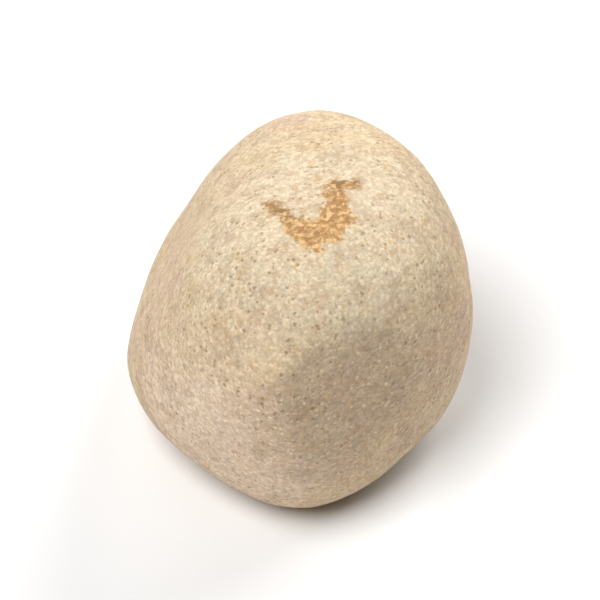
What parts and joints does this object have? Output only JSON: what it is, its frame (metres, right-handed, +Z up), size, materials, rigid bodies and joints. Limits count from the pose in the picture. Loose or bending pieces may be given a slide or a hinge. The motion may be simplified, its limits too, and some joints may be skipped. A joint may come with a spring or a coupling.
{
  "type": "river pebble",
  "caption": "Water-worn pale sandstone pebble, a rounded block with a narrowed top and a flat resting face, used loose as a paving, garden or decor stone.",
  "frame": {"origin": "on the ground under the middle of the stone's bounding box", "axes": "+Z up, away from the ground; -Y is the front, the narrow edge between the two front faces; +X is the stone's right side seen from the front"},
  "size_m": [0.0542, 0.064, 0.0536],
  "materials": {
    "stone": "water-worn matte sandstone, fine grained, cream with small brown specks and one rust-coloured stain"
  },
  "bodies": {
    "root": {"pebble": "stone"}
  },
  "joints": []
}
